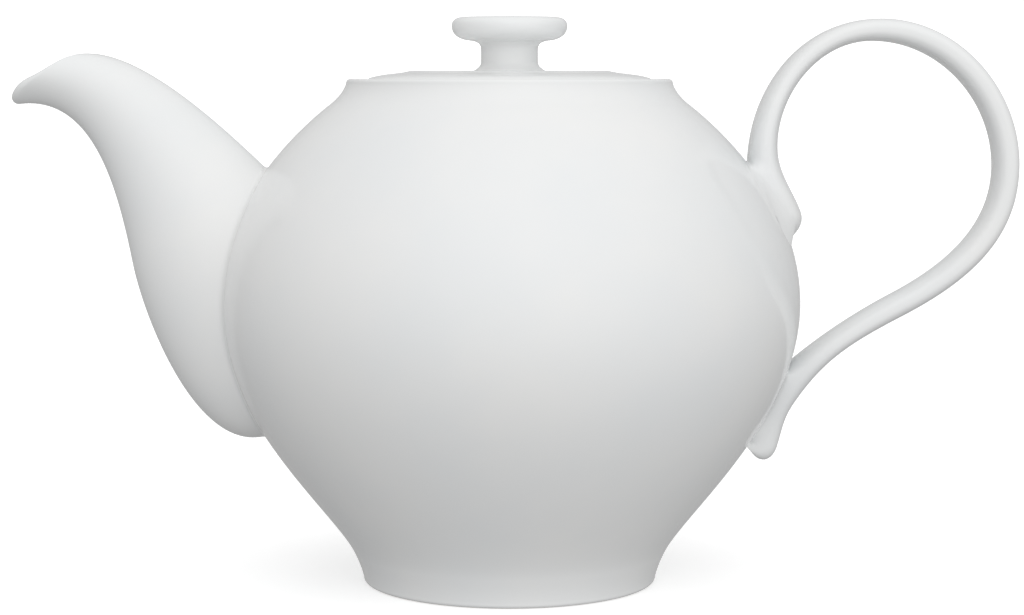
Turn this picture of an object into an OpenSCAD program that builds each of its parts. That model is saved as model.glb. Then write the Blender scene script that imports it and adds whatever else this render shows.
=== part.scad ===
// Round-bellied porcelain teapot: vessel, luted spout and handle, recessed lid with a mushroom knob.
// The origin is on the vessel's axis at the underside of the foot. The spout points along -X,
// the handle along +X.

/* [Body] */
// Radius of the belly at its widest
belly_r = 75.7; // [72:0.1:78]
// Height of the widest point above the table
belly_z = 73.4; // [70:0.1:76]
// Height of the rim
rim_z = 131.6; // [131:0.1:134]
// Outer radius of the collar at the rim
rim_r = 42.4; // [41.5:0.1:43.5]
// Radius of the foot just above its rounded edge
foot_r = 38.6; // [37:0.1:40]
// Wall thickness of the vessel
wall = 4; // [3:0.1:5]

/* [Lid] */
// Radius of the gallery that the lid drops into
gallery_r = 37.4; // [37:0.1:38.5]
// Depth of the gallery below the rim
gallery_depth = 3.6; // [3:0.1:4.5]
// Radius of the throat inside the gallery
throat_r = 33; // [31:0.1:34]
// Gap between the lid and the vessel, all round
lid_gap = 0.4; // [0.2:0.1:0.8]
// Depth of the lid's flange below its seat
flange_depth = 15; // [8:0.5:20]
// Radius of the lid's raised ring
ring_r = 25; // [22:0.1:27]
// Height of the raised ring above the rim
ring_rise = 2.1; // [1.5:0.1:3]
// Radius of the steam hole
vent_r = 1.5; // [1:0.1:2]

/* [Knob] */
// Radius of the knob's cap
knob_r = 15; // [12:0.1:17]
// Height of the knob's top above the rim
knob_top = 16.3; // [15:0.1:18]
// Radius of the knob's stem
stem_r = 7.4; // [5:0.1:8]

/* [Spout] */
// Half the width of the spout where it leaves the belly
spout_base_w = 22.2; // [18:0.1:23]
// Half the width of the spout at its neck
spout_neck_w = 10.6; // [9:0.1:12]
// Half the width of the spout at its mouth
spout_mouth_w = 8.4; // [7:0.1:10]
// Wall thickness of the spout at the belly
spout_wall = 4; // [3:0.1:4.5]
// Wall thickness of the spout at the lip
lip_wall = 3; // [2.2:0.1:3.2]
// Radius of one strainer hole
strainer_hole_r = 1.8; // [1:0.1:2]

/* [Handle] */
// Half the width of the strap along its loop
strap_w = 6.6; // [5:0.1:8]
// Half the width of the strap where it spreads onto the shoulder
upper_root_w = 12; // [9:0.1:13]
// Half the width of the strap where it lies on the lower belly
lower_root_w = 10; // [7:0.1:11]

/* [Hidden] */
$fn = 96;
porcelain = [0.93, 0.94, 0.94];

// Outline of the lower belly: where the cone meets the foot, and the length of each tangent
waist = [41, 8];
waist_heading = 65;
waist_tangent = 12;
lower_tangent = 30;
// Outline of the shoulder: where it meets the collar
shoulder = [46.4, 125.2];
shoulder_heading = 142;
shoulder_tangent = 5.7;
upper_tangent = 28.7;
collar_tangent = 1.5;
// Foot ring and the recess inside it
foot_edge = 1.2;
foot_ring_w = 4.4;
foot_chamfer = 1.4;
base_recess = 2.6;
recess_draft = 1;
// Inside of the vessel: the floor, how it turns up into the wall, and the throat under the gallery
floor_z = 7;
floor_flat_r = 30;
floor_turn_r = 36;
floor_heading = 62;
floor_tangent = 6;
inside_low_z = 16;
throat_drop = 4;
throat_flare = 2.5;
throat_flare_drop = 0.8;
rim_edge = 1;
gallery_edge = 0.6;
// Strainer: distance between holes in a row, between rows, and rows on each side of the middle one
strainer_pitch = 6.2;
strainer_row_pitch = 5.58;
strainer_rows = 3;
strainer_drill = 20;
// Taken past a surface by every cut
past = 1;

// Edges of the spout in the XZ plane, as anchors:
// [x, z, heading in degrees, length of the tangent before, length of the tangent after]
spout_top_edge = [
    [-50, 95.5, 136, 0, 7],
    [-63.8, 108.7, 136, 7, 14.7],
    [-109, 138.2, 179, 14.5, 0]
];
spout_low_edge = [
    [-48, 38, 178, 0, 6],
    [-65.8, 37.8, 187, 6, 17.5],
    [-98.3, 83.2, 101, 13.3, 19],
    [-129.6, 126.4, 180, 21, 0]
];
// How much slower the sections climb the short upper edge than the long lower one
spout_fan = 2.1;
// How far the sides of the mouth stand above a straight cut
mouth_saddle = 1.5;

// Outer and inner edges of the handle in the XZ plane, anchored in pairs from the upper tail
// over the loop to the lower toe, in the same form
handle_out_edge = [
    [61, 88, 92, 0, 3],
    [61.5, 98, 90, 3, 5],
    [62.2, 111.6, 86.2, 5, 18.7],
    [95.9, 147.2, 0.6, 20.1, 20.2],
    [132.5, 109.3, -89.5, 19.8, 18.4],
    [102.7, 69.9, -152.3, 20.6, 14.6],
    [77, 50.3, -126.9, 10.9, 8.6],
    [69.9, 34.4, -108, 7, 0]
];
handle_in_edge = [
    [69, 87, 35, 0, 5],
    [75.8, 97.1, 109.5, 4.1, 5.2],
    [69.7, 111.8, 97.5, 5.5, 13.6],
    [93.7, 141.4, 0.8, 14.9, 18],
    [126, 108.1, -91, 17.7, 15.1],
    [100, 75.5, -152, 15.9, 14],
    [71, 55.3, -127, 8, 8],
    [63.2, 34.4, -118, 7, 0]
];
handle_half_w = [9, 12.5, upper_root_w, strap_w, strap_w, strap_w, lower_root_w, 8.4];
toe_len = 3.2;
// Squareness of the strap's section: 2 is an ellipse
strap_square = 2.3;

// --- Curves ---

function bezier(a, b, c, d, t) =
    pow(1 - t, 3) * a + 3 * pow(1 - t, 2) * t * b + 3 * (1 - t) * t * t * c + pow(t, 3) * d;

function heading(angle) = [cos(angle), sin(angle)];

// Point at position s along a chain of anchors, with one anchor at each whole number
function along(edge, s) =
    let (i = min(floor(s), len(edge) - 2), p = edge[i], q = edge[i + 1])
    let (start = [p[0], p[1]], end = [q[0], q[1]])
    bezier(start, start + p[4] * heading(p[2]), end - q[3] * heading(q[2]), end, s - i);

function curve(a, b, c, d, n) = [for (i = [0:n]) bezier(a, b, c, d, i / n)];

// Quarter round about a centre, from one angle to another
function arc(centre, r, from, to, n) = [for (i = [0:n]) centre + r * heading(from + (to - from) * i / n)];

// A path moved sideways, to its left
function inset(path, distance) = [
    for (i = [1:len(path) - 2])
        let (step = path[i + 1] - path[i - 1])
        path[i] + distance * [-step[1], step[0]] / norm(step)
];

function ease(a, b, t) = a + (b - a) * t * t * (3 - 2 * t);

// Value at position s in a list that has one value for each anchor
function eased(values, s) =
    let (i = min(floor(s), len(values) - 2))
    ease(values[i], values[i + 1], s - i);

function signed_pow(v, p) = sign(v) * pow(abs(v), p);

// --- Solids from rings ---

// Solid through rings with equal numbers of points; a looped one joins its last ring to its first
module skin(rings, looped = false) {
    n = len(rings[0]);
    count = len(rings);
    last = looped ? count - 1 : count - 2;
    sides = [
        for (i = [0:last], j = [0:n - 1])
            let (a = i * n + j, b = i * n + (j + 1) % n)
            let (up = ((i + 1) % count) * n)
            let (c = up + j, d = up + (j + 1) % n)
            each [[a, b, d], [a, d, c]]
    ];
    first_cap = [for (j = [n - 1:-1:0]) j];
    last_cap = [for (j = [0:n - 1]) (count - 1) * n + j];
    polyhedron([for (ring = rings) each ring], looped ? sides : concat(sides, [first_cap, last_cap]), 8);
}

// --- Vessel ---

// Outer outline of the vessel, from the foot up to the rim
lower_curve = curve(
    waist,
    waist + waist_tangent * heading(waist_heading),
    [belly_r, belly_z - lower_tangent],
    [belly_r, belly_z],
    14
);
upper_curve = curve(
    [belly_r, belly_z],
    [belly_r, belly_z + upper_tangent],
    shoulder - shoulder_tangent * heading(shoulder_heading),
    shoulder,
    16
);
foot_curve = curve(
    [foot_r - 0.1, foot_edge],
    [foot_r + 0.5, 4],
    waist - 2 * heading(waist_heading),
    waist,
    4
);
collar_curve = curve(
    shoulder,
    shoulder + collar_tangent * heading(shoulder_heading),
    [rim_r + 0.2, rim_z - 3.4],
    [rim_r, rim_z - rim_edge],
    4
);

function tail(path) = [for (i = [1:len(path) - 1]) path[i]];

outside = concat(
    arc([foot_r - 0.1 - foot_edge, foot_edge], foot_edge, -90, 0, 3),
    tail(foot_curve),
    tail(lower_curve),
    tail(upper_curve),
    tail(collar_curve),
    tail(arc([rim_r - rim_edge, rim_z - rim_edge], rim_edge, 0, 90, 3))
);

// Outer solid of the vessel with nothing taken out, which the spout and handle are cut to
module vessel_outside() {
    rotate_extrude() polygon(concat([[0, 0]], outside, [[0, rim_z]]));
}

inside_wall = [for (p = inset(concat(lower_curve, tail(upper_curve)), wall)) if (p[1] > inside_low_z) p];

module vessel_inside() {
    first = inside_wall[0];
    seat = rim_z - gallery_depth;
    ledge = seat - throat_drop;
    turn_end = first - floor_tangent * heading(floor_heading);
    rotate_extrude() polygon(concat(
        [[0, floor_z]],
        curve([floor_flat_r, floor_z], [floor_turn_r, floor_z], turn_end, first, 4),
        tail(inside_wall),
        [
            [throat_r + throat_flare, ledge - throat_flare_drop],
            [throat_r, ledge],
            [throat_r, seat],
            [gallery_r, seat],
            [gallery_r, rim_z - gallery_edge],
            [gallery_r + gallery_edge, rim_z],
            [gallery_r + gallery_edge, rim_z + past],
            [0, rim_z + past]
        ]
    ));
}

// Holes pierced through the wall behind the spout, in staggered rows of three and two
module strainer_holes() {
    for (row = [-strainer_rows:strainer_rows]) {
        staggered = row % 2 != 0;
        shift = staggered ? 0.5 : 0;
        last = staggered ? 0 : 1;
        for (column = [-1:last])
            translate([
                -belly_r - 2 * past,
                (column + shift) * strainer_pitch,
                belly_z + row * strainer_row_pitch
            ])
                rotate([0, 90, 0])
                    cylinder(h = strainer_drill, r = strainer_hole_r, $fn = 24);
    }
}

// Recess inside the foot ring, which leaves a flat ring to stand on
module foot_recess() {
    ring_r = foot_r - foot_ring_w;
    rotate_extrude() polygon([
        [0, -past],
        [ring_r + foot_chamfer, -past],
        [ring_r, foot_chamfer - past],
        [ring_r - recess_draft, base_recess],
        [0, base_recess]
    ]);
}

module pot_body() {
    color(porcelain) difference() {
        vessel_outside();
        vessel_inside();
        strainer_holes();
        foot_recess();
    }
}

// --- Spout ---

spout_rings = 22;
spout_sides = 36;
// Control values of the curve that the spout's half-width follows
spout_widths = [spout_base_w + 1, spout_base_w - 2, spout_neck_w - 1.4, spout_mouth_w];

// Half the spout's width at s, which runs from 0 inside the belly to 1 at the mouth
function spout_half_w(s) = bezier(spout_widths[0], spout_widths[1], spout_widths[2], spout_widths[3], s);

// One section of the spout, taken in by a wall thickness
function spout_ring(s, taken_in) =
    let (top = along(spout_top_edge, s <= 0 ? 1 + s : 1 + pow(s, spout_fan)))
    let (low = along(spout_low_edge, s <= 0 ? 1 + s : 1 + 2 * s))
    let (middle = (top + low) / 2, half = (top - low) / 2)
    let (half_h = norm(half) - taken_in, rise = half / norm(half))
    let (half_w = spout_half_w(max(s, 0)) - taken_in)
    let (saddle = mouth_saddle * pow(max(s, 0), 5))
    [for (j = [0:spout_sides - 1])
        let (a = 360 * j / spout_sides)
        let (flat = middle + half_h * cos(a) * rise + saddle * pow(sin(a), 2) * [-rise[1], rise[0]])
        [flat[0], half_w * sin(a), flat[1]]];

// Rounded lip between the last outer ring and the last inner ring
function lip_ring(outer, inner, a) = [
    for (j = [0:spout_sides - 1])
        let (centre = (outer[j] + inner[j]) / 2, across = (outer[j] - inner[j]) / 2)
        let (next = (j + 1) % spout_sides, before = (j + spout_sides - 1) % spout_sides)
        let (run = outer[next] + inner[next] - outer[before] - inner[before])
        let (forward = cross(across, run))
        centre + across * cos(a) + norm(across) * sin(a) * forward / norm(forward)
];

module spout() {
    wall_at = [for (i = [0:spout_rings]) spout_wall + (lip_wall - spout_wall) * i / spout_rings];
    outer_end = spout_ring(1, 0);
    inner_end = spout_ring(1, lip_wall);
    rings = concat(
        [spout_ring(-1, 0), spout_ring(-0.5, 0)],
        [for (i = [0:spout_rings]) spout_ring(i / spout_rings, 0)],
        [for (a = [30:30:150]) lip_ring(outer_end, inner_end, a)],
        [for (i = [spout_rings:-2:0]) spout_ring(i / spout_rings, wall_at[i])],
        [spout_ring(-0.5, spout_wall), spout_ring(-1, spout_wall)]
    );
    color(porcelain) difference() {
        skin(rings, looped = true);
        vessel_outside();
    }
}

// --- Handle ---

handle_rings_per_anchor = 14;
handle_sides = 24;

function strap_ring(s, scale_by, forward) =
    let (outer = along(handle_out_edge, s), inner = along(handle_in_edge, s))
    let (middle = (outer + inner) / 2, half = (outer - inner) / 2)
    let (on = [half[1], -half[0]] / norm(half))
    [for (j = [0:handle_sides - 1])
        let (a = 360 * j / handle_sides)
        let (flat = middle + forward * on + scale_by * signed_pow(cos(a), 2 / strap_square) * half)
        [flat[0], scale_by * eased(handle_half_w, s) * signed_pow(sin(a), 2 / strap_square), flat[1]]];

module handle() {
    last = len(handle_out_edge) - 1;
    steps = last * handle_rings_per_anchor;
    rings = concat(
        [for (i = [0:steps]) strap_ring(i / handle_rings_per_anchor, 1, 0)],
        [for (a = [20:20:80]) strap_ring(last, cos(a), toe_len * sin(a))]
    );
    color(porcelain) difference() {
        skin(rings);
        vessel_outside();
    }
}

// --- Lid ---

seat_z = rim_z - gallery_depth;
lid_r = gallery_r - lid_gap;
flange_r = throat_r - lid_gap;
flange_t = 3;
bore_r = flange_r - flange_t;
ring_z = rim_z + ring_rise;
dish_z = ring_z - 1;
plate_under_z = dish_z - 3.6;
// Crest of the ring: where its outer slope starts, and how far that lies below the crest
slope_r = ring_r + 4;
slope_z = ring_z - 0.6;
// Edge of the lid: how far its rounding reaches above and below the rim, and the chamfers under it
edge_rise = 0.4;
lid_chamfer = 0.4;
flange_chamfer = 0.8;
plate_chamfer = 3;
vent_x = -18;
vent_drill = 20;
// Radius of the level middle that the knob stands on
knob_land_r = 10;

// Upper outline of the lid, from the knob's foot over the ring to the edge
lid_top = concat(
    [[knob_land_r, dish_z]],
    curve([14, dish_z], [18, dish_z], [ring_r - 3, ring_z], [ring_r, ring_z], 6),
    tail(curve([ring_r, ring_z], [ring_r + 1.4, ring_z], [ring_r + 2, slope_z + 0.2], [slope_r, slope_z], 4)),
    tail(curve(
        [slope_r, slope_z],
        [slope_r + 5, slope_z - 0.5],
        [lid_r, rim_z + edge_rise],
        [lid_r, rim_z - edge_rise],
        6
    ))
);

// Lower outline, from the edge along the seat and the flange to the axis
lid_under = [
    [lid_r, seat_z + lid_chamfer],
    [lid_r - lid_chamfer, seat_z],
    [flange_r, seat_z],
    [flange_r, seat_z - flange_depth + flange_chamfer],
    [flange_r - flange_chamfer, seat_z - flange_depth],
    [bore_r + flange_chamfer, seat_z - flange_depth],
    [bore_r, seat_z - flange_depth + flange_chamfer],
    [bore_r, plate_under_z - plate_chamfer],
    [bore_r - plate_chamfer, plate_under_z],
    [0, plate_under_z]
];

module lid() {
    color(porcelain) difference() {
        rotate_extrude() polygon(concat([[0, dish_z]], lid_top, lid_under));
        translate([vent_x, 0, dish_z - vent_drill / 2])
            cylinder(h = vent_drill, r = vent_r, $fn = 32);
    }
}

// --- Knob ---

// Heights below the knob's top: of the stem's end, the cap's underside, its widest point and its shoulder
knob_z = rim_z + knob_top;
stem_end = 8.6;
cap_under = 6.3;
cap_widest = 2.6;
cap_shoulder = 0.35;
cap_root_r = stem_r + 3.6;
crown_r = knob_r - 2.6;
foot_rise = 3;

knob_foot = curve(
    [knob_land_r, dish_z],
    [stem_r + 0.8, dish_z + 0.3],
    [stem_r, dish_z + 1.4],
    [stem_r, dish_z + foot_rise],
    6
);
cap_under_curve = curve(
    [stem_r, knob_z - stem_end],
    [stem_r, knob_z - cap_under - 0.5],
    [stem_r + 1.6, knob_z - cap_under - 0.2],
    [cap_root_r, knob_z - cap_under],
    5
);
cap_side_curve = curve(
    [cap_root_r, knob_z - cap_under],
    [knob_r - 1.6, knob_z - cap_under + 0.4],
    [knob_r, knob_z - cap_widest - 2.1],
    [knob_r, knob_z - cap_widest],
    6
);
cap_crown_curve = curve(
    [knob_r, knob_z - cap_widest],
    [knob_r, knob_z - cap_widest + 1.4],
    [knob_r - 1, knob_z - cap_shoulder - 0.15],
    [crown_r, knob_z - cap_shoulder],
    5
);

module lid_knob() {
    color(porcelain) rotate_extrude() polygon(concat(
        [[0, dish_z]],
        knob_foot,
        cap_under_curve,
        tail(cap_side_curve),
        tail(cap_crown_curve),
        [[0, knob_z]]
    ));
}

pot_body();
spout();
handle();
lid();
lid_knob();
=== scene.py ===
"""Looks of the porcelain teapot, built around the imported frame.

Outlines are in millimetres, in the frame's own axes, until a mesh is made from them.
The spout points along -X, the handle along +X, and the pot stands at Z = 0.
"""

import math

import bmesh
import bpy
import numpy as np
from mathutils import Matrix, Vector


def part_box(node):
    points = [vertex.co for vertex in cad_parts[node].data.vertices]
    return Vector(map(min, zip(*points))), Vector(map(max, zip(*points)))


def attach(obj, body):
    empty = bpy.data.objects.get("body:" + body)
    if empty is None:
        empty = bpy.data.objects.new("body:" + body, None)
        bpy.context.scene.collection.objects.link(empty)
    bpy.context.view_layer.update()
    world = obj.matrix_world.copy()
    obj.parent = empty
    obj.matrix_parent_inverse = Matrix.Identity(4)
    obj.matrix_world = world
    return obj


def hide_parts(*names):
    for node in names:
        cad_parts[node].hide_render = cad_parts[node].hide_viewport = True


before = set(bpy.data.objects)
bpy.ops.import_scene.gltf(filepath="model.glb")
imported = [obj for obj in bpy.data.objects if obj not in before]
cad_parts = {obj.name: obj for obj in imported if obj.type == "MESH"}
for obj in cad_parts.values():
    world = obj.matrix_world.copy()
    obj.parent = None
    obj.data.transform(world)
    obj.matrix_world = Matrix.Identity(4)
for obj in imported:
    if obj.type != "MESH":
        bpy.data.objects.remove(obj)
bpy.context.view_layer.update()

MM = 0.001

body_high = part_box("pot_body")[1]

# --- Vessel, in mm; a pull is the length of a curve's tangent before and after a point ---
# The outer outline's points, headings and pulls came from a least-squares fit to the photo, rounded.
BELLY_R = body_high.x / MM
RIM_Z = body_high.z / MM
BELLY_Z = 73.4
BELLY_PULL = (30, 28.7)
WALL = 4
FOOT_R = 38.5
FOOT_EDGE = 1.2
FOOT_BULGE = (0.6, 4)
FOOT_RING_INNER_R = 34.2
FOOT_RING_BEVEL = 0.4
BASE_RECESS = 2.6
WAIST = (41, 8)
WAIST_HEADING = 65
WAIST_PULL = (2, 12)
SHOULDER = (46.4, 125.2)
SHOULDER_HEADING = 142
SHOULDER_PULL = (5.7, 1.5)
RIM_R = 42.4
RIM_EDGE = 1.1
COLLAR = (0.6, 3.4)
FLOOR_Z = 7
FLOOR_R = 30
FLOOR_TURN_R = 36
FLOOR_PULL = 6
FLOOR_HEADING = 62
LINING_LOW_Z = 16
LINING_TOP_GAP = 4
GALLERY_R = 37.4
GALLERY_DEPTH = 3.6
GALLERY_BEVEL = 0.5
THROAT_R = 33
THROAT_DROP = 4
THROAT_LEDGE = (2.5, 0.8)
POT_SOFTENING = 0.5
POT_STEP = 3
BISCUIT_Z = 0.25

# --- Strainer, in mm ---
STRAINER_HOLE_R = 1.8
STRAINER_PITCH = 6.2
STRAINER_ROW_GAP = 0.9
STRAINER_ROWS = 3
STRAINER_INSET = 8
STRAINER_CUT = 20

# --- Lid and knob, in mm ---
LID_GAP = 0.4
LID_EDGE = 0.4
LID_SOFTENING = 0.9
LID_STEP = 1.5
FLANGE_DEPTH = 15
FLANGE_T = 3
RING_R = 25
RING_Z = RIM_Z + 2.1
RING_DROP = 0.6
RING_SHOULDER = 4
DISH_Z = RING_Z - 1
DISH_R = 14
LID_PLATE_T = 3.6
VENT_R = 1.5
VENT_X = -18
VENT_CUT = 20
KNOB_LAND_R = 10
KNOB_R = 15
KNOB_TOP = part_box("lid_knob")[1].z / MM
KNOB_FOOT_R = KNOB_LAND_R + 0.8
KNOB_FOOT_RISE = 3.3
STEM_R = 7.4
STEM_END = 8.6
CAP_UNDER = 6.3
CAP_ROOT_R = STEM_R + 3.6
CAP_WIDEST = 2.6
CAP_SHOULDER = 0.35
CROWN_R = KNOB_R - 2.6

# --- Spout, in mm: anchors are x, z, heading in degrees, tangent before, tangent after ---
# The anchors of the spout's and the handle's edges came from such a fit too, and some were then moved.
SPOUT_TOP_EDGE = [
    [-50, 95.5, 136, 0, 7],
    [-63.8, 108.7, 136, 7, 14.7],
    [-109, 138.2, 179, 14.5, 0],
]
SPOUT_LOW_EDGE = [
    [-48, 38, 178, 0, 6],
    [-65.8, 37.8, 187, 6, 17.5],
    [-98.3, 83.2, 101, 13.3, 19],
    [-127.4, 125.1, 187, 20, 0],
]
SPOUT_HALF_W = [23.2, 20.2, 9.2, 8.4]
SPOUT_FAN = 2.1
MOUTH_SADDLE = 2.1
SPOUT_WALL = 4
LIP_R = 1.5
BEAK_R = 1.7

# --- Handle, in mm, in the same form, from the upper tail over the loop into the lower toe ---
STRAP_OUT_EDGE = [
    [61, 88, 92, 0, 3],
    [61.5, 98, 90, 3, 5],
    [62.2, 111.6, 86.2, 5, 18.7],
    [95.9, 147.2, 0.6, 20.1, 20.2],
    [132.5, 109.3, -89.5, 19.8, 18.4],
    [102.7, 69.9, -152.3, 20.6, 14.6],
    [77, 50.3, -126.9, 10.9, 8.6],
    [70.4, 35.6, -106, 7, 1.9],
    [66.8, 31.9, -180, 1.8, 1.9],
    [63.2, 35.2, -250, 1.8, 2],
    [61.4, 40, -250, 2, 0],
]
STRAP_IN_EDGE = [
    [69, 87, 35, 0, 5],
    [75.8, 97.1, 109.5, 4.1, 5.2],
    [69.7, 111.8, 97.5, 5.5, 13.6],
    [93.7, 141.4, 0.8, 14.9, 18],
    [126, 108.1, -91, 17.7, 15.1],
    [100, 75.5, -152, 15.9, 14],
    [71, 55.3, -137, 8, 7],
    [61.8, 38, -118, 5, 1],
    [60, 39, -190, 1, 1],
    [58, 40.5, -222, 1, 1],
    [55.5, 43, -222, 1, 0],
]
STRAP_HALF_W = [9, 11.5, 10.5, 6.6, 6.6, 6.6, 6.9, 5.8, 5.8, 5.8, 5]
STRAP_SQUARE = 2.6
LOOP_START = 2.5

# --- Clay smoothed into the seams: widths and rises in mm, angles round the strap in degrees ---
SPOUT_LUTE = 1.4
TAIL_LUTE = 1.2
TAIL_FLARE = 6
SHOULDER_FLARE = 9
SHOULDER_ANGLE = 66
SHOULDER_SPAN = 34
SHOULDER_END = 2.4
TOE_LUTE = 0.5
TOE_FLARE = 4.6
TOE_TAPER = (6, 7.4)
FLARE_RISE = 4
LEAST_RISE = 0.05
FLARE_BEND = (1.2, 2)
BEND_GAIN = 0.5
SUNK = 0.02
ROOT_DEPTH = 1.5
LEAST_SLOPE = 0.09

# --- Mesh density ---
TURNS = 256
KNOB_TURNS = 160
LUTE_ROWS = 10
SPOUT_SIDES = 120
SPOUT_ROWS = 90
CHANNEL_ROWS = 60
LIP_ROWS = 14
STRAP_SIDES = 120
STRAP_STEP = 0.6
WELD = 0.02
SHARP_ANGLE = 50


# ---------------------------------------------------------------- curves


def heading(degrees):
    return np.array([math.cos(math.radians(degrees)), math.sin(math.radians(degrees))])


def bezier(a, b, c, d, t):
    a, b, c, d = (np.asarray(p, float) for p in (a, b, c, d))
    t = np.asarray(t, float)
    if a.ndim:
        t = t[..., None]
    return (1 - t) ** 3 * a + 3 * (1 - t) ** 2 * t * b + 3 * (1 - t) * t * t * c + t**3 * d


def curve(a, b, c, d, n):
    return bezier(a, b, c, d, np.linspace(0, 1, n + 1))


def arc(centre, r, start, end, n):
    turn = np.radians(np.linspace(start, end, n + 1))
    return np.asarray(centre, float) + r * np.column_stack([np.cos(turn), np.sin(turn)])


def joined(*paths):
    """One path through all of them, without the points that repeat."""
    path = np.vstack([np.atleast_2d(np.asarray(p, float)) for p in paths])
    keep = np.r_[True, np.linalg.norm(np.diff(path, axis=0), axis=1) > 1e-4]
    return path[keep]


def softened(path, r, n=5, corner=20):
    """The path with each corner sharper than so many degrees rounded off."""
    out = [path[0]]
    for before, here, after in zip(path[:-2], path[1:-1], path[2:]):
        into, off = here - before, after - here
        a, b = np.linalg.norm(into), np.linalg.norm(off)
        turn = math.degrees(math.acos(max(-1, min(1, into @ off / (a * b)))))
        if turn < corner:
            out.append(here)
            continue
        cut = min(r, 0.45 * a, 0.45 * b)
        start, end = here - into / a * cut, here + off / b * cut
        out.extend(curve(start, (start + 2 * here) / 3, (end + 2 * here) / 3, end, n))
    out.append(path[-1])
    return joined(out)


def spaced(path, step):
    """The path with extra points on its long straight stretches."""
    out = [path[0]]
    for a, b in zip(path[:-1], path[1:]):
        n = max(1, int(np.linalg.norm(b - a) / step))
        out.extend(a + (b - a) * i / n for i in range(1, n + 1))
    return np.array(out)


def inset(path, distance):
    """The path moved sideways, to its left."""
    step = path[2:] - path[:-2]
    side = np.column_stack([-step[:, 1], step[:, 0]]) / np.linalg.norm(step, axis=1)[:, None]
    return path[1:-1] + distance * side


def along(edge, s):
    """Points at positions s on a chain of anchors, with one anchor at each whole number."""
    edge = np.asarray(edge, float)
    i = np.clip(np.floor(s), 0, len(edge) - 2).astype(int)
    turn = np.radians(edge[:, 2])
    way = np.column_stack([np.cos(turn), np.sin(turn)])
    start, end = edge[i, :2], edge[i + 1, :2]
    lead = start + edge[i, 4][..., None] * way[i]
    trail = end - edge[i + 1, 3][..., None] * way[i + 1]
    t = (s - i)[..., None]
    return (1 - t) ** 3 * start + 3 * (1 - t) ** 2 * t * lead + 3 * (1 - t) * t * t * trail + t**3 * end


def eased(values, s):
    """A value at positions s, easing from each anchor's value to the next."""
    values = np.asarray(values, float)
    i = np.clip(np.floor(s), 0, len(values) - 2).astype(int)
    t = s - i
    return values[i] + (values[i + 1] - values[i]) * t * t * (3 - 2 * t)


def signed_pow(v, p):
    return np.sign(v) * np.abs(v) ** p


def unit(v):
    return v / np.maximum(np.linalg.norm(v, axis=-1, keepdims=True), 1e-12)


# ---------------------------------------------------------------- meshes


def close_holes(bm):
    """Joins corners that coincide, drops loose ones, and fills the open ends."""
    bmesh.ops.remove_doubles(bm, verts=bm.verts, dist=WELD * MM)
    bmesh.ops.delete(bm, geom=[v for v in bm.verts if not v.link_faces], context="VERTS")
    rim = [e for e in bm.edges if e.is_boundary]
    filled = bmesh.ops.holes_fill(bm, edges=rim)["faces"]
    bmesh.ops.triangulate(bm, faces=filled)


def keep_shading(mesh):
    """Shades the points that have a normal of their own by it, and the others by their faces."""
    normals = np.empty(len(mesh.vertices) * 3)
    mesh.attributes["shading"].data.foreach_get("vector", normals)
    mesh.attributes.remove(mesh.attributes["shading"])
    mesh.normals_split_custom_set_from_vertices(normals.reshape(-1, 3).tolist())


def new_piece(name, verts, faces, materials, body, node, material_of=None, shading=None):
    """A smooth-shaded mesh from points in mm, riding on its CAD body in place of its CAD node."""
    mesh = bpy.data.meshes.new(name)
    mesh.from_pydata((np.asarray(verts) * MM).tolist(), [], faces)
    for m in materials:
        mesh.materials.append(m)
    if shading is not None:
        mesh.attributes.new("shading", "FLOAT_VECTOR", "POINT").data.foreach_set("vector", shading.ravel())
    bm = bmesh.new()
    bm.from_mesh(mesh)
    close_holes(bm)
    bmesh.ops.recalc_face_normals(bm, faces=bm.faces)
    for f in bm.faces:
        f.smooth = True
        if material_of:
            f.material_index = material_of(f.calc_center_median() / MM)
    bm.to_mesh(mesh)
    bm.free()
    mesh.set_sharp_from_angle(angle=math.radians(SHARP_ANGLE))
    if shading is not None:
        keep_shading(mesh)
    obj = bpy.data.objects.new(name, mesh)
    bpy.context.scene.collection.objects.link(obj)
    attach(obj, body)
    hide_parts(node)
    return obj


def lathe(path, turns):
    """Points and faces of a path turned about the vessel's axis. It starts and ends on the axis."""
    n = len(path)
    angle = np.linspace(0, 2 * np.pi, turns, endpoint=False)
    inner = path[1:-1]
    rings = np.stack([
        np.outer(inner[:, 0], np.cos(angle)),
        np.outer(inner[:, 0], np.sin(angle)),
        np.repeat(inner[:, 1:2], turns, axis=1),
    ], axis=-1)
    verts = np.vstack([[0, 0, path[0][1]], rings.reshape(-1, 3), [0, 0, path[-1][1]]])
    last = len(verts) - 1
    faces = []
    for j in range(turns):
        k = (j + 1) % turns
        faces.append((0, 1 + k, 1 + j))
        for i in range(n - 3):
            a, b = 1 + i * turns, 1 + (i + 1) * turns
            faces.append((a + j, a + k, b + k, b + j))
        end = 1 + (n - 3) * turns
        faces.append((end + j, end + k, last))
    return verts, faces


def tube_faces(count, sides, first=0):
    """Quads between so many rings that follow each other."""
    return [
        (first + i * sides + j, first + i * sides + (j + 1) % sides,
         first + (i + 1) * sides + (j + 1) % sides, first + (i + 1) * sides + j)
        for i in range(count - 1) for j in range(sides)
    ]


def cut_out(obj, cutters):
    """Takes the cutters' solids out of a piece, and removes them."""
    for cutter in cutters:
        tool = obj.modifiers.new("cut", "BOOLEAN")
        tool.operation = "DIFFERENCE"
        tool.solver = "EXACT"
        tool.object = cutter
        with bpy.context.temp_override(object=obj, active_object=obj):
            bpy.ops.object.modifier_apply(modifier=tool.name)
        bpy.data.objects.remove(cutter)


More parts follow.
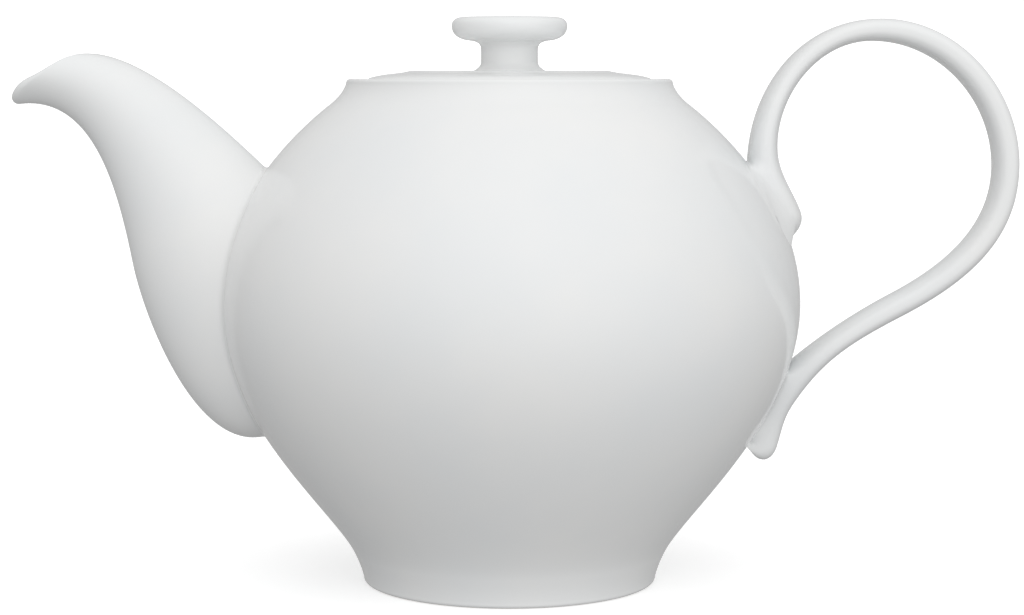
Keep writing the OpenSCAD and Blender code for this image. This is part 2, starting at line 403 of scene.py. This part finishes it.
def peg(places, axis, r, length, sides=32):
    """One mesh of round pegs, centred on the places and lying along an axis, in mm."""
    angle = np.linspace(0, 2 * np.pi, sides, endpoint=False)
    along_axis = np.asarray(axis, float)
    across = np.cross(along_axis, (0, 1, 0))
    up = np.cross(along_axis, across)
    verts, faces = [], []
    for place in places:
        first = len(verts)
        for end in (-length / 2, length / 2):
            for a in angle:
                spoke = r * (math.cos(a) * across + math.sin(a) * up)
                verts.append(np.asarray(place, float) + end * along_axis + spoke)
        faces.extend(tube_faces(2, sides, first))
        faces.append(tuple(first + i for i in reversed(range(sides))))
        faces.append(tuple(first + sides + i for i in range(sides)))
    mesh = bpy.data.meshes.new("pegs")
    mesh.from_pydata((np.array(verts) * MM).tolist(), [], faces)
    bm = bmesh.new()
    bm.from_mesh(mesh)
    bmesh.ops.recalc_face_normals(bm, faces=bm.faces)
    bm.to_mesh(mesh)
    bm.free()
    obj = bpy.data.objects.new("pegs", mesh)
    bpy.context.scene.collection.objects.link(obj)
    return obj


# ---------------------------------------------------------------- materials


def node_of(tree, kind, **sockets):
    """A shader node with some of its inputs set, or linked where a socket is given."""
    node = tree.nodes.new(kind)
    for name, value in sockets.items():
        socket = node.inputs[name.replace("_", " ")]
        if isinstance(value, bpy.types.NodeSocket):
            tree.links.new(value, socket)
        else:
            socket.default_value = value
    return node


def maths(tree, operation, *values):
    """A sum, product or power of numbers and sockets."""
    node = tree.nodes.new("ShaderNodeMath")
    node.operation = operation
    for socket, value in zip(node.inputs, values):
        if isinstance(value, bpy.types.NodeSocket):
            tree.links.new(value, socket)
        else:
            socket.default_value = value
    return node.outputs["Value"]


def noise(tree, place, scale, detail=2.0, roughness=0.5):
    return node_of(tree, "ShaderNodeTexNoise", Vector=place, Scale=scale, Detail=detail, Roughness=roughness)


def remap(tree, value, low, high, to_low, to_high):
    node = node_of(tree, "ShaderNodeMapRange", Value=value)
    for name, number in zip(("From Min", "From Max", "To Min", "To Max"), (low, high, to_low, to_high)):
        node.inputs[name].default_value = number
    return node.outputs["Result"]


def blend_colour(tree, factor, a, b):
    node = tree.nodes.new("ShaderNodeMix")
    node.data_type = "RGBA"
    tree.links.new(factor, node.inputs["Factor"])
    node.inputs[6].default_value = (*a, 1)
    node.inputs[7].default_value = (*b, 1)
    return node.outputs[2]


def bump(tree, height, distance, strength, normal=None):
    node = node_of(tree, "ShaderNodeBump", Height=height, Distance=distance, Strength=strength)
    if normal is not None:
        tree.links.new(normal, node.inputs["Normal"])
    return node.outputs["Normal"]


def new_material(name):
    material = bpy.data.materials.new(name)
    material.use_nodes = True
    tree = material.node_tree
    shader = tree.nodes["Principled BSDF"]
    place = tree.nodes.new("ShaderNodeTexCoord").outputs["Object"]
    return material, tree, shader, place


def glaze():
    """White porcelain under a clear glaze: drifting tone, a slightly wavy skin and fine pinholes."""
    material, tree, shader, place = new_material("porcelain_glaze")
    drift = noise(tree, place, 28, 3).outputs["Fac"]
    body = blend_colour(tree, remap(tree, drift, 0.35, 0.65, 0, 1), (0.83, 0.845, 0.85), (0.86, 0.865, 0.86))
    tree.links.new(body, shader.inputs["Base Color"])
    fine = noise(tree, place, 160, 4, 0.6).outputs["Fac"]
    tree.links.new(remap(tree, fine, 0.3, 0.7, 0.4, 0.5), shader.inputs["Roughness"])
    wave = bump(tree, noise(tree, place, 70, 1).outputs["Fac"], 0.0004, 0.12)
    skin = bump(tree, noise(tree, place, 900, 2).outputs["Fac"], 0.00005, 0.1, wave)
    tree.links.new(skin, shader.inputs["Normal"])
    tree.links.new(wave, shader.inputs["Coat Normal"])
    shader.inputs["IOR"].default_value = 1.5
    shader.inputs["Specular IOR Level"].default_value = 0.1
    shader.inputs["Coat Weight"].default_value = 1
    shader.inputs["Coat Roughness"].default_value = 0.12
    return material


def biscuit():
    """Unglazed porcelain, where the foot stood in the kiln."""
    material, tree, shader, place = new_material("porcelain_biscuit")
    grit = noise(tree, place, 1400, 5, 0.7).outputs["Fac"]
    patch = noise(tree, place, 60, 3).outputs["Fac"]
    body = blend_colour(tree, remap(tree, patch, 0.3, 0.7, 0, 1), (0.74, 0.71, 0.66), (0.8, 0.78, 0.74))
    tree.links.new(body, shader.inputs["Base Color"])
    tree.links.new(remap(tree, grit, 0.3, 0.7, 0.75, 0.95), shader.inputs["Roughness"])
    tree.links.new(bump(tree, grit, 0.00015, 0.5), shader.inputs["Normal"])
    return material


# ---------------------------------------------------------------- vessel


def vessel_outside():
    """Outline of the vessel from the underside of the foot up to the rim."""
    waist, shoulder = np.array(WAIST, float), np.array(SHOULDER, float)
    widest = np.array([BELLY_R, BELLY_Z])
    waist_way, shoulder_way = heading(WAIST_HEADING), heading(SHOULDER_HEADING)
    bulge = (FOOT_R + FOOT_BULGE[0], FOOT_BULGE[1])
    before_waist = waist - WAIST_PULL[0] * waist_way
    after_waist = waist + WAIST_PULL[1] * waist_way
    before_shoulder = shoulder - SHOULDER_PULL[0] * shoulder_way
    after_shoulder = shoulder + SHOULDER_PULL[1] * shoulder_way
    collar = (RIM_R + COLLAR[0], RIM_Z - COLLAR[1])
    edge_z = RIM_Z - RIM_EDGE
    return joined(
        arc((FOOT_R - FOOT_EDGE, FOOT_EDGE), FOOT_EDGE, -90, 0, 8),
        curve((FOOT_R, FOOT_EDGE), bulge, before_waist, waist, 14),
        curve(waist, after_waist, widest - (0, BELLY_PULL[0]), widest, 70),
        curve(widest, widest + (0, BELLY_PULL[1]), before_shoulder, shoulder, 70),
        curve(shoulder, after_shoulder, collar, (RIM_R, edge_z), 16),
        arc((RIM_R - RIM_EDGE, edge_z), RIM_EDGE, 0, 90, 8),
    )


def vessel_inside(outside):
    """Outline of the vessel's inside, from the rim down to the floor on the axis."""
    wall = inset(outside, WALL)
    wall = wall[(wall[:, 1] > LINING_LOW_Z) & (wall[:, 1] < SHOULDER[1] - LINING_TOP_GAP)]
    ledge = RIM_Z - GALLERY_DEPTH - THROAT_DROP
    first = wall[0]
    into_wall = first - FLOOR_PULL * heading(FLOOR_HEADING)
    floor = curve((FLOOR_R, FLOOR_Z), (FLOOR_TURN_R, FLOOR_Z), into_wall, first, 16)
    top = np.array([
        (GALLERY_R + GALLERY_BEVEL, RIM_Z),
        (GALLERY_R, RIM_Z - GALLERY_BEVEL),
        (GALLERY_R, RIM_Z - GALLERY_DEPTH),
        (THROAT_R, RIM_Z - GALLERY_DEPTH),
        (THROAT_R, ledge),
        (THROAT_R + THROAT_LEDGE[0], ledge - THROAT_LEDGE[1]),
    ])
    return joined(top, wall[::-1], floor[::-1], (0, FLOOR_Z))


def underside():
    """Outline of the recess inside the foot ring, from the axis outwards."""
    return np.array([
        (0, BASE_RECESS),
        (FOOT_RING_INNER_R - 1, BASE_RECESS),
        (FOOT_RING_INNER_R, FOOT_RING_BEVEL),
        (FOOT_RING_INNER_R + FOOT_RING_BEVEL, 0),
    ])


def pot_materials(centre):
    """1, the unglazed one, on the flat of the foot ring, and 0 elsewhere."""
    r = math.hypot(centre.x, centre.y)
    return int(centre.z < BISCUIT_Z and r > FOOT_RING_INNER_R)


def strainer_places():
    """Centres of the holes behind the spout, in staggered rows."""
    places = []
    for row in range(-STRAINER_ROWS, STRAINER_ROWS + 1):
        columns = (-1, 0, 1) if row % 2 == 0 else (-0.5, 0.5)
        z = BELLY_Z + row * STRAINER_PITCH * STRAINER_ROW_GAP
        places.extend((STRAINER_INSET - BELLY_R, column * STRAINER_PITCH, z) for column in columns)
    return places


def make_pot_body(materials):
    outside = vessel_outside()
    path = joined(underside(), outside, vessel_inside(outside))
    path = spaced(softened(path, POT_SOFTENING), POT_STEP)
    verts, faces = lathe(path, TURNS)
    pot = new_piece("teapot_vessel", verts, faces, materials, "pot", "pot_body", pot_materials)
    cut_out(pot, [peg(strainer_places(), (1, 0, 0), STRAINER_HOLE_R, STRAINER_CUT)])


# ---------------------------------------------------------------- seams with the vessel

SKIN = vessel_outside()


def clearance(points):
    """How far points are outside the vessel's skin, and the skin's normal nearest to each."""
    flat = points.reshape(-1, 3)
    where = np.column_stack([np.hypot(flat[:, 0], flat[:, 1]), flat[:, 2]])
    start, step = SKIN[:-1], np.diff(SKIN, axis=0)
    best = np.full(len(where), 1e9)
    gap = np.zeros(len(where))
    normal = np.zeros((len(where), 2))
    for a, d in zip(start, step):
        size = d @ d
        t = np.clip((where - a) @ d / size, 0, 1)
        away = where - a - t[:, None] * d
        far = np.einsum("ij,ij->i", away, away)
        nearer = far < best
        side = np.array([d[1], -d[0]]) / math.sqrt(size)
        best[nearer] = far[nearer]
        gap[nearer] = np.sqrt(far[nearer]) * np.sign(away[nearer] @ side)
        normal[nearer] = side
    r = np.maximum(where[:, 0], 1e-9)
    turned = np.column_stack([normal[:, 0] * flat[:, 0] / r, normal[:, 0] * flat[:, 1] / r, normal[:, 1]])
    return gap.reshape(points.shape[:-1]), turned.reshape(points.shape)


def surface_normals(surface, s, a):
    """Outward normals of a lofted surface at positions s along it and angles a round it."""
    h = 1e-3
    run = surface(s + h, a) - surface(s - h, a)
    turn = surface(s, a + h) - surface(s, a - h)
    n = unit(np.cross(run, turn))
    middle = (surface(s, a * 0) + surface(s, a * 0 + np.pi)) / 2
    flip = np.sign(np.sum((surface(s, a) - middle) * n))
    return n * flip


def seam(surface, s_in, s_out, a, widths, rows):
    """Positions along each line, from the skin out to the width of its fillet."""
    s = np.linspace(s_in, s_out, 400)[:, None] * np.ones(len(a))
    points = surface(s, a[None, :] * np.ones_like(s))
    gap, skin = clearance(points)
    n = surface_normals(surface, s, a[None, :] * np.ones_like(s))
    steep = np.sqrt(np.maximum(1 - np.sum(n * skin, axis=-1) ** 2, LEAST_SLOPE))
    rise = gap / steep
    u = np.linspace(1, 0, rows)
    found = np.zeros((rows, len(a)))
    for j in range(len(a)):
        k = np.nonzero(gap[:, j] < 0)[0].max()
        climb = np.maximum.accumulate(rise[k:, j])
        climb += np.arange(len(climb)) * 1e-9
        found[:, j] = np.interp(widths[j] * (1 - u) ** 2, climb, s[k:, j])
    return found, u


def luted(surface, s, a, widths, u):
    """Points and normals of a fillet that runs from the skin up onto a lofted surface."""
    a = a[None, :] * np.ones_like(s)
    points = surface(s, a)
    gap, skin = clearance(points)
    n = surface_normals(surface, s, a)
    out = unit(n - np.sum(n * skin, axis=-1, keepdims=True) * skin)
    moved = points + (widths[None, :] * u[:, None] ** 2)[..., None] * out
    there, skin = clearance(moved)
    want = np.where(u[:, None] == 1, -SUNK, gap)
    normal = unit((1 - u)[:, None, None] * n + u[:, None, None] * skin)
    return moved + (want - there)[..., None] * skin, normal


def smoothed_in(surface, s, a, width, rise, bend, level):
    """Points and normals of a surface, those near the skin moved out onto a flare that runs down to it.

    The flare is so wide on the skin and rises so far up the surface. A bend of 2 makes it a smooth fillet,
    and one of 1 a straight slope. Where level is true the flare spreads straight to the sides.
    """
    points = surface(s, a)
    gap, skin = clearance(points)
    n = surface_normals(surface, s, a)
    lean = np.sum(n * skin, axis=-1, keepdims=True)
    way = n * np.where(level[..., None], (0, 1, 0), (1, 1, 1)) + 1e-6 * n
    out = unit(way - np.sum(way * skin, axis=-1, keepdims=True) * skin)
    steep = np.sqrt(np.maximum(1 - lean[..., 0] ** 2, LEAST_SLOPE))
    u = np.clip(1 - (np.maximum(gap, 0) / (rise * steep)) ** (1 / bend), 0, 1)
    share = np.where(gap > 0, u**bend, np.clip(1 + gap / ROOT_DEPTH, 0, 1))
    moved = points + (width * share)[..., None] * out
    there, skin = clearance(moved)
    want = gap - SUNK * u**4
    up = rise * (1 - u) ** (bend - 1)
    across = width * u ** (bend - 1) * (u > 0)
    normal = unit(up[..., None] * n + across[..., None] * skin)
    return moved + (want - there)[..., None] * skin, normal


# ---------------------------------------------------------------- spout


def spout_surface(s, a, thick=0.0):
    """A point of the spout: s runs from 0 inside the belly to 1 at the mouth, a is 0 on the upper edge."""
    up = np.maximum(s, 0)
    top = along(SPOUT_TOP_EDGE, 1 + np.where(s < 0, s, up**SPOUT_FAN))
    low = along(SPOUT_LOW_EDGE, 1 + np.where(s < 0, s, 2 * up))
    middle, half = (top + low) / 2, (top - low) / 2
    high = np.linalg.norm(half, axis=-1)
    rise = half / high[..., None]
    wide = bezier(*SPOUT_HALF_W, up) - thick
    forward = np.stack([-rise[..., 1], rise[..., 0]], axis=-1)
    saddle = MOUTH_SADDLE * up**5 * (1 - np.cos(a) ** 4)
    flat = middle + ((high - thick) * np.cos(a))[..., None] * rise + saddle[..., None] * forward
    return np.stack([flat[..., 0], wide * np.sin(a), flat[..., 1]], axis=-1)


def spout_channel(s, a):
    return spout_surface(s, a, SPOUT_WALL)


def lip_rings(outer, normal, forward, r, n):
    """The rounded lip, from the last outer ring over to the first ring of the channel."""
    centre = outer - r[:, None] * normal
    turns = np.radians(np.linspace(0, 180, n + 1))[1:]
    return [centre + r[:, None] * (math.cos(t) * normal + math.sin(t) * forward) for t in turns]


def make_spout(material):
    sides = SPOUT_SIDES
    a = np.linspace(0, 2 * np.pi, sides, endpoint=False)
    widths = np.full(sides, SPOUT_LUTE)
    s, u = seam(spout_surface, -1, 0.8, a, widths, LUTE_ROWS)
    root, root_normals = luted(spout_surface, s, a, widths, u)
    share = np.linspace(0, 1, SPOUT_ROWS + 1)[1:, None]
    outer = spout_surface(s[-1] + (1 - s[-1]) * share, a[None, :] * np.ones_like(share))
    normal = surface_normals(spout_surface, np.ones((1, sides)), a[None, :])[0]
    step = outer[-1] - outer[-2]
    forward = unit(step - np.sum(step * normal, axis=1, keepdims=True) * normal)
    lip_r = LIP_R + (BEAK_R - LIP_R) * ((1 - np.cos(a)) / 2) ** 4
    lip = lip_rings(outer[-1], normal, forward, lip_r, LIP_ROWS)
    start = seam(spout_channel, -1, 0.8, a, np.full(sides, 0.5), 2)[0][0]
    run = 1 - np.linspace(0, 1, CHANNEL_ROWS)[1:, None]
    channel = spout_channel(start + (1 - start) * run, a[None, :] * np.ones((len(run), 1)))
    mouth = spout_channel(np.ones((1, sides)), a[None, :])[0]
    channel += (run**6)[..., None] * (lip[-1] - mouth)
    gap, skin = clearance(channel[-1])
    channel[-1] -= (gap + SUNK)[:, None] * skin
    rings = np.vstack([root, outer, lip, channel])
    count = len(rings)
    faces = tube_faces(count, sides)
    last = (count - 1) * sides
    faces.extend((last + j, last + (j + 1) % sides, (j + 1) % sides, j) for j in range(sides))
    shading = np.zeros((count * sides, 3))
    shading[:root_normals.size // 3] = root_normals.reshape(-1, 3)
    verts = rings.reshape(-1, 3)
    new_piece("teapot_spout", verts, faces, [material], "pot", "spout", shading=shading)


# ---------------------------------------------------------------- handle


def strap_surface(s, a):
    """A point of the strap: a is 0 on the outer edge of the loop and a half turn on the inner one."""
    outer, inner = along(STRAP_OUT_EDGE, s), along(STRAP_IN_EDGE, s)
    middle, half = (outer + inner) / 2, (outer - inner) / 2
    power = 2 / STRAP_SQUARE
    flat = middle + signed_pow(np.cos(a), power)[..., None] * half
    across = eased(STRAP_HALF_W, s) * signed_pow(np.sin(a), power)
    return np.stack([flat[..., 0], across, flat[..., 1]], axis=-1)


def strap_rows(step):
    """Positions along the strap whose sections are about one step apart."""
    fine = np.linspace(0, len(STRAP_OUT_EDGE) - 1, 4000)
    edges = (STRAP_OUT_EDGE, STRAP_IN_EDGE)
    moves = [np.linalg.norm(np.diff(along(edge, fine), axis=0), axis=1) for edge in edges]
    travel = np.r_[0, np.cumsum(np.maximum(*moves))]
    return np.interp(np.arange(0, travel[-1], step), travel, fine)


def split_along(faces, places, heights, level):
    """The faces, cut in two where the height of their corners passes a level."""
    made, out = {}, []
    for face in faces:
        above = [heights[v] > level for v in face]
        if all(above) or not any(above):
            out.append(face)
            continue
        upper, lower = [], []
        for i, v in enumerate(face):
            after = (i + 1) % len(face)
            (upper if above[i] else lower).append(v)
            if above[i] == above[after]:
                continue
            w = face[after]
            edge = (min(v, w), max(v, w))
            if edge not in made:
                made[edge] = len(places)
                share = (level - heights[v]) / (heights[w] - heights[v])
                places.append(places[v] + share * (places[w] - places[v]))
                heights.append(level)
            upper.append(made[edge])
            lower.append(made[edge])
        out.extend(part for part in (tuple(upper), tuple(lower)) if len(part) > 2)
    return out


def flare_width(s, a):
    """How far the strap's roots spread over the skin: little at their ends, and more at their sides."""
    side = np.sin(a) ** 4
    from_outer = np.pi - np.abs(a - np.pi)
    off = (from_outer - np.radians(SHOULDER_ANGLE)) / np.radians(SHOULDER_SPAN)
    shoulder = np.exp(-(off**2)) * np.clip(SHOULDER_END - s, 0, 1)
    upper = TAIL_LUTE + (TAIL_FLARE - TAIL_LUTE) * side + (SHOULDER_FLARE - TAIL_FLARE) * shoulder
    taper = np.clip((TOE_TAPER[1] - s) / (TOE_TAPER[1] - TOE_TAPER[0]), 0, 1)
    toe = side * (TOE_LUTE + (TOE_FLARE - TOE_LUTE) * taper)
    return np.where(s < LOOP_START, upper, toe)


def make_handle(material):
    turn = np.linspace(0, 2 * np.pi, STRAP_SIDES + 1)
    s, a = np.meshgrid(strap_rows(STRAP_STEP), turn, indexing="ij")
    grid = np.arange(s.size).reshape(s.shape)
    corners = np.stack([grid[:-1, :-1], grid[:-1, 1:], grid[1:, 1:], grid[1:, :-1]], axis=-1).reshape(-1, 4)
    heights = clearance(strap_surface(s, a))[0].ravel()
    near = heights[corners].min(axis=1) < FLARE_RISE
    deep = heights[corners].max(axis=1) < -ROOT_DEPTH
    faces = [tuple(face) for face in corners[near & ~deep].tolist()]
    places = list(np.column_stack([s.ravel(), a.ravel()]))
    heights = heights.tolist()
    for share in np.linspace(0, 1, LUTE_ROWS):
        faces = split_along(faces, places, heights, FLARE_RISE * share**2)
    faces = split_along(faces, places, heights, -ROOT_DEPTH)
    faces = [face for face in faces if max(heights[v] for v in face) > -ROOT_DEPTH + 1e-9]
    faces.extend(tuple(face) for face in corners[~near].tolist())
    places, heights = np.array(places), np.array(heights)
    verts = strap_surface(places[:, 0], places[:, 1])
    shading = np.zeros((len(verts), 3))
    low = heights < FLARE_RISE
    s, a = places[low].T
    width = flare_width(s, a)
    rise = np.clip(width, LEAST_RISE, FLARE_RISE)
    bend = np.clip(s + BEND_GAIN, *FLARE_BEND)
    verts[low], shading[low] = smoothed_in(strap_surface, s, a, width, rise, bend, s > LOOP_START)
    new_piece("teapot_handle", verts, faces, [material], "pot", "handle", shading=shading)


# ---------------------------------------------------------------- lid


def make_lid(material):
    seat = RIM_Z - GALLERY_DEPTH
    lid_r, flange_r = GALLERY_R - LID_GAP, THROAT_R - LID_GAP
    slope = RING_Z - RING_DROP
    slope_r = RING_R + RING_SHOULDER
    lid_edge = (lid_r, RIM_Z - LID_EDGE)
    bore_r = flange_r - FLANGE_T
    top = joined(
        (0, DISH_Z),
        (KNOB_LAND_R, DISH_Z),
        curve((DISH_R, DISH_Z), (DISH_R + 4, DISH_Z), (RING_R - 3, RING_Z), (RING_R, RING_Z), 24),
        curve((RING_R, RING_Z), (RING_R + 1.4, RING_Z), (RING_R + 2, slope + 0.2), (slope_r, slope), 12),
        curve((slope_r, slope), (slope_r + 5, slope - 0.5), (lid_r, RIM_Z + LID_EDGE), lid_edge, 24),
    )
    under = np.array([
        (lid_r, seat),
        (flange_r, seat),
        (flange_r, seat - FLANGE_DEPTH),
        (bore_r, seat - FLANGE_DEPTH),
        (bore_r, DISH_Z - LID_PLATE_T),
        (0, DISH_Z - LID_PLATE_T),
    ])
    path = spaced(softened(joined(top, under), LID_SOFTENING), LID_STEP)
    verts, faces = lathe(path, TURNS)
    lid = new_piece("teapot_lid", verts, faces, [material], "cover", "lid")
    vent = (VENT_X, 0, DISH_Z - LID_PLATE_T / 2)
    cut_out(lid, [peg([vent], (0, 0, 1), VENT_R, VENT_CUT, 48)])


def make_knob(material):
    top = KNOB_TOP
    foot = curve(
        (KNOB_FOOT_R, DISH_Z),
        (KNOB_FOOT_R - 1, DISH_Z + 1),
        (STEM_R, DISH_Z + 1.6),
        (STEM_R, DISH_Z + KNOB_FOOT_RISE),
        14,
    )
    under = curve(
        (STEM_R, top - STEM_END),
        (STEM_R, top - CAP_UNDER - 0.5),
        (STEM_R + 1.6, top - CAP_UNDER - 0.2),
        (CAP_ROOT_R, top - CAP_UNDER),
        14,
    )
    side = curve(
        (CAP_ROOT_R, top - CAP_UNDER),
        (KNOB_R - 1.6, top - CAP_UNDER + 0.4),
        (KNOB_R, top - CAP_WIDEST - 2.1),
        (KNOB_R, top - CAP_WIDEST),
        18,
    )
    crown = curve(
        (KNOB_R, top - CAP_WIDEST),
        (KNOB_R, top - CAP_WIDEST + 1.4),
        (KNOB_R - 1, top - CAP_SHOULDER - 0.15),
        (CROWN_R, top - CAP_SHOULDER),
        14,
    )
    base = DISH_Z - SUNK
    path = joined((0, base), (KNOB_FOOT_R - 0.5, base), foot, under, side, crown, (0, top))
    verts, faces = lathe(spaced(path, 1), KNOB_TURNS)
    new_piece("teapot_lid_knob", verts, faces, [material], "cover", "lid_knob")


# ---------------------------------------------------------------- studio

EYE = (0.000652, -0.631, 0.1316)
EYE_PITCH = 5.4
EYE_LENS = 85
EYE_SENSOR = 36

# --- White paper sweep, in mm ---
SWEEP_R = 2600
SWEEP_BEND = 1200
SWEEP_H = 3000
SWEEP_GLOW = 0.4

# --- Dome light: the way to each glow's middle, how narrow it is, and its strength ---
# The strengths came from a least-squares fit to the shading in the photo, rounded.
FILL = 0.12
DOME = [
    ((0, 0, 1), 2, 0.67),
    ((0, -1, 0), 2, 0.34),
    ((0, 1, 0), 2, 0.23),
    ((0, -1, 0), 8, 0.37),
    ((0, -1, 1), 8, 0.33),
    ((1, -1, 0), 8, 0.36),
]


def make_camera():
    data = bpy.data.cameras.new("camera")
    data.lens = EYE_LENS
    data.sensor_width = EYE_SENSOR
    camera = bpy.data.objects.new("camera", data)
    camera.location = EYE
    camera.rotation_euler = (math.radians(90 - EYE_PITCH), 0, 0)
    bpy.context.scene.collection.objects.link(camera)
    bpy.context.scene.camera = camera


def make_sweep():
    """Seamless white paper: a flat floor that curves up into a wall all round."""
    material, tree, shader, place = new_material("sweep_paper")
    grain = noise(tree, place, 300, 3).outputs["Fac"]
    paper = blend_colour(tree, remap(tree, grain, 0.3, 0.7, 0, 1), (0.9, 0.9, 0.9), (0.92, 0.92, 0.92))
    tree.links.new(paper, shader.inputs["Base Color"])
    shader.inputs["Roughness"].default_value = 0.9
    shader.inputs["Specular IOR Level"].default_value = 0.1
    shader.inputs["Emission Color"].default_value = (1, 1, 1, 1)
    shader.inputs["Emission Strength"].default_value = SWEEP_GLOW
    turn_in = SWEEP_R - SWEEP_BEND
    path = joined(
        spaced(np.array([(0.0, 0.0), (turn_in, 0.0)]), 100),
        arc((turn_in, SWEEP_BEND), SWEEP_BEND, -90, 0, 24),
        (SWEEP_R, SWEEP_H),
        (0, SWEEP_H + SWEEP_BEND),
    )
    verts, faces = lathe(path, 96)
    mesh = bpy.data.meshes.new("sweep")
    mesh.from_pydata((verts * MM).tolist(), [], faces)
    mesh.materials.append(material)
    mesh.shade_smooth()
    sweep = bpy.data.objects.new("sweep", mesh)
    bpy.context.scene.collection.objects.link(sweep)
    for ray in ("diffuse", "glossy", "transmission", "shadow"):
        setattr(sweep, "visible_" + ray, False)


def make_light():
    """A smooth dome of light with no edges in it, and so none in the glaze."""
    world = bpy.data.worlds.new("studio")
    world.use_nodes = True
    tree = world.node_tree
    way = tree.nodes.new("ShaderNodeTexCoord").outputs["Generated"]
    total = FILL
    for aim, focus, strength in DOME:
        facing = tree.nodes.new("ShaderNodeVectorMath")
        facing.operation = "DOT_PRODUCT"
        tree.links.new(way, facing.inputs[0])
        facing.inputs[1].default_value = unit(np.array(aim, float))
        near = maths(tree, "MAXIMUM", maths(tree, "MULTIPLY_ADD", facing.outputs["Value"], 0.5, 0.5), 0)
        total = maths(tree, "MULTIPLY_ADD", maths(tree, "POWER", near, focus), strength, total)
    sky = tree.nodes["Background"]
    sky.inputs["Color"].default_value = (1, 1, 1, 1)
    tree.links.new(total, sky.inputs["Strength"])
    bpy.context.scene.world = world
    bpy.context.scene.view_settings.view_transform = "Standard"


glazed = glaze()
make_pot_body([glazed, biscuit()])
make_spout(glazed)
make_handle(glazed)
make_lid(glazed)
make_knob(glazed)
make_sweep()
make_light()
make_camera()
